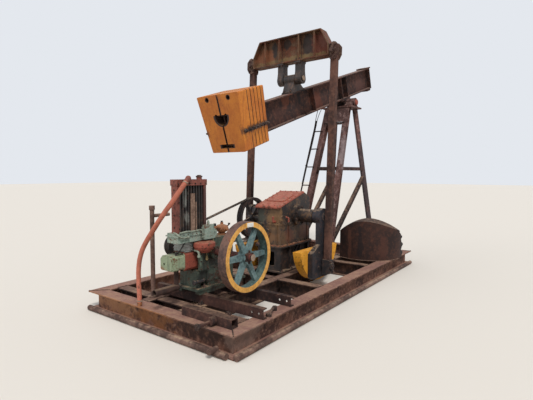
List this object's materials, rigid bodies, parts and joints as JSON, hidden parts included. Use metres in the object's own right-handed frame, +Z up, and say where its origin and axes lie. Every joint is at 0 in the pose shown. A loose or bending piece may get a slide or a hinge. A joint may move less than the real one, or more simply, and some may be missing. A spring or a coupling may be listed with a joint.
{
  "type": "beam pumping unit",
  "caption": "Beam pumping unit on a rusty steel skid: tilted walking beam with yellow weights, cranks with half-moon weights, gearbox, engine with flywheel and radiator, horsehead off.",
  "frame": {"origin": "middle of the skid on the ground, at the underside of the short beam between the two inner skid beams", "axes": "+X along the skid towards the well end, +Y across the unit away from the flywheel, +Z up"},
  "size_m": [5.5659, 2.3446, 3.7294],
  "materials": {
    "skid_steel": "rusted brown paint",
    "inner_steel": "rusted brown paint, grimy",
    "pipe_steel": "rusted pipe",
    "rail_steel": "rusted, dusty",
    "post_steel": "rusted red-brown paint",
    "brace_steel": "dark rusted paint",
    "gearbox_black": "black with oil and dust",
    "cover_red": "faded salmon red paint",
    "beam_steel": "rusted dark brown",
    "weight_yellow": "faded yellow-orange paint over rust",
    "rod_steel": "rusted bar",
    "equalizer_yellow": "yellow paint mostly gone to rust",
    "pitman_steel": "rusted dark brown",
    "bearing_dark": "dark blue-black grease",
    "shaft_steel": "dull machined steel",
    "crank_blue": "dark blue paint, greasy",
    "moon_yellow": "yellow paint, chipped",
    "sheave_grey": "dark grey iron",
    "belt_rubber": "worn black rubber",
    "engine_green": "dull green paint with rust",
    "cylinder_red": "oxide red",
    "head_mint": "faded mint green paint",
    "flywheel_yellow": "faded yellow paint, rusty tread",
    "governor_orange": "rusty orange",
    "radiator_red": "reddish brown paint",
    "core_dark": "dark fins with dust",
    "drum_grey": "grey paint, dusty and chipped",
    "hose_salmon": "ribbed salmon rubber, matte",
    "horsehead_brown": "very dark rusted brown"
  },
  "bodies": {
    "base": {"side_beams": "skid_steel", "end_beams": "skid_steel", "inner_beams": "inner_steel", "cross_beams": "inner_steel", "edge_pipes": "pipe_steel", "engine_rails": "rail_steel", "take_up": "rail_steel", "rear_legs": "post_steel", "front_legs": "post_steel", "leg_braces": "brace_steel", "post_cap": "post_steel", "ladder": "brace_steel", "gearbox_stand": "gearbox_black", "gearbox_case": "gearbox_black", "gearbox_cover": "cover_red", "drive_belts": "belt_rubber", "crankcase": "engine_green", "cylinder": "cylinder_red", "cylinder_head": "head_mint", "top_tank": "engine_green", "oil_pots": "cylinder_red", "governor": "governor_orange", "air_drum": "drum_grey", "radiator_frame": "radiator_red", "radiator_core": "core_dark", "exhaust_pipe": "pipe_steel", "standpipe": "pipe_steel", "hose_union": "governor_orange", "hose": "hose_salmon", "horsehead": "horsehead_brown"},
    "beam": {"walking_beam": "beam_steel", "saddle_hub": "beam_steel", "tail_block": "beam_steel", "front_weight": "weight_yellow", "weight_plates": "weight_yellow", "weight_clamps": "rod_steel"},
    "equalizer_and_pitmans": {"equalizer": "equalizer_yellow", "hangers": "equalizer_yellow", "pitmans": "pitman_steel", "pitman_clevises": "equalizer_yellow", "wrist_bearings": "bearing_dark"},
    "crank": {"crankshaft": "shaft_steel", "cranks": "crank_blue", "crank_weights": "moon_yellow"},
    "input_sheave": {"reducer_sheave": "sheave_grey"},
    "engine_flywheel": {"flywheel": "flywheel_yellow", "drive_sheave": "sheave_grey"}
  },
  "joints": [
    {"name": "beam_rock", "type": "hinge", "parent": "base", "child": "beam", "pos_m": [1.9, 0, 2.88], "axis": [0, 1, 0], "range_deg": [0, 36]},
    {"name": "equalizer_swing", "type": "hinge", "parent": "beam", "child": "equalizer_and_pitmans", "pos_m": [0.19465, 0, 2.99773], "axis": [0, 1, 0], "range_deg": [-36, 0]},
    {"name": "crank_spin", "type": "hinge", "parent": "base", "child": "crank", "pos_m": [0.05, 0, 1], "axis": [0, 1, 0], "continuous": true},
    {"name": "sheave_spin", "type": "hinge", "parent": "base", "child": "input_sheave", "pos_m": [-0.315, 0.345, 0.96], "axis": [0, 1, 0], "continuous": true},
    {"name": "flywheel_spin", "type": "hinge", "parent": "base", "child": "engine_flywheel", "pos_m": [-1.78, -0.75, 0.752], "axis": [0, 1, 0], "continuous": true}
  ],
  "couplings": [
    {"joint": "equalizer_swing", "follows": "beam_rock", "ratio": -1},
    {"joint": "sheave_spin", "follows": "crank_spin", "ratio": 28.45}
  ]
}
